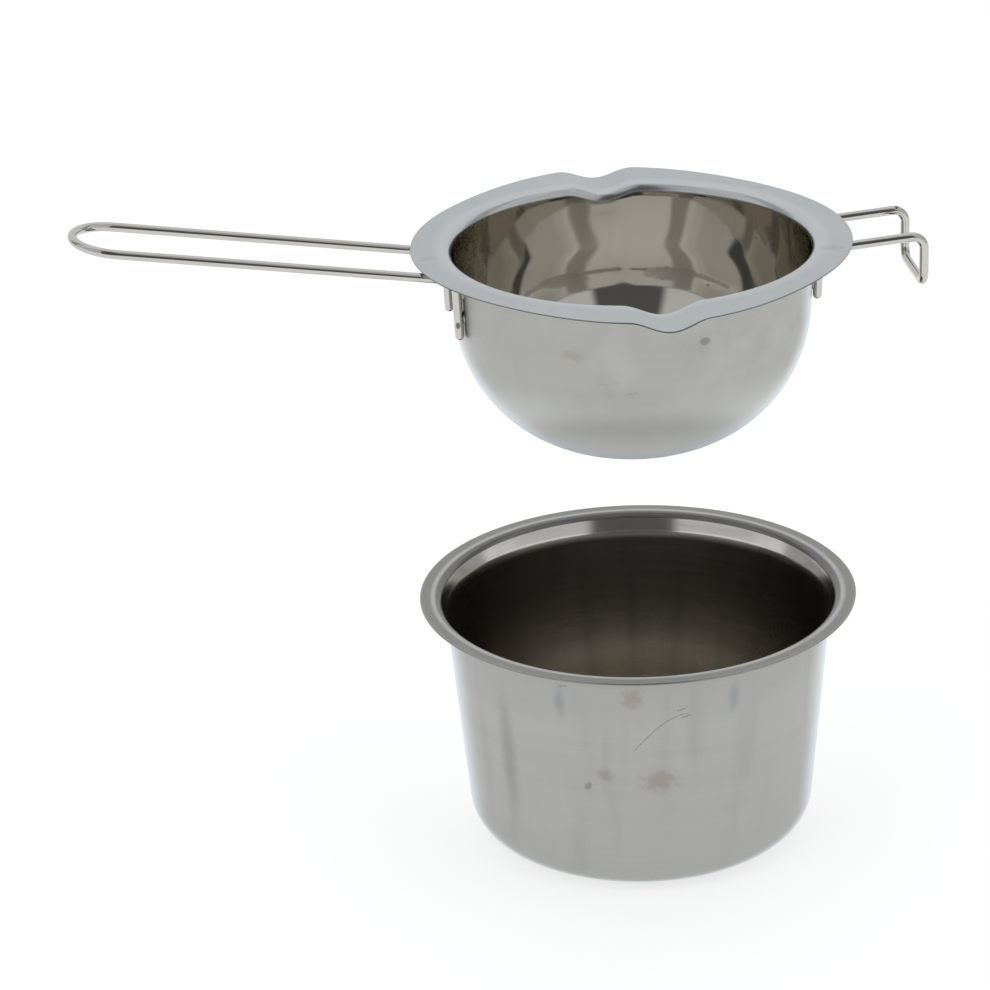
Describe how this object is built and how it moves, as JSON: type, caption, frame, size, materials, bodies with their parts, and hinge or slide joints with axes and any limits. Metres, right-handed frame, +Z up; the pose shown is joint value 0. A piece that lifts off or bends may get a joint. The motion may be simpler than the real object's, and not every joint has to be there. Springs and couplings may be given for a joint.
{
  "type": "candle melting pot",
  "caption": "Spouted melting bowl with welded wire handle and rest hook, held above the round water pot that it drops into.",
  "frame": {"origin": "centre of the lower pot's base, on the surface it stands on", "axes": "+Z up along the pot's and the bowl's common axis, +X towards the rest hook, so the handle points along -X and the spouts along -Y and +Y"},
  "size_m": [0.274, 0.1522, 0.2232],
  "materials": {
    "pot_steel": "horizontally brushed outside, dull satin inside",
    "bowl_steel": "bright polished stainless steel",
    "wire_steel": "bright drawn stainless wire",
    "weld_steel": "dull weld metal"
  },
  "bodies": {
    "pot": {"lower_pot": "pot_steel"},
    "bowl": {"melting_bowl": "bowl_steel", "handle_wire": "wire_steel", "hook_wire": "wire_steel", "handle_welds": "weld_steel", "hook_welds": "weld_steel"}
  },
  "joints": [
    {"name": "bowl_lift", "type": "slide", "parent": "pot", "child": "bowl", "axis": [0, 0, 1], "range_m": [-0.1182, 0.04]}
  ]
}
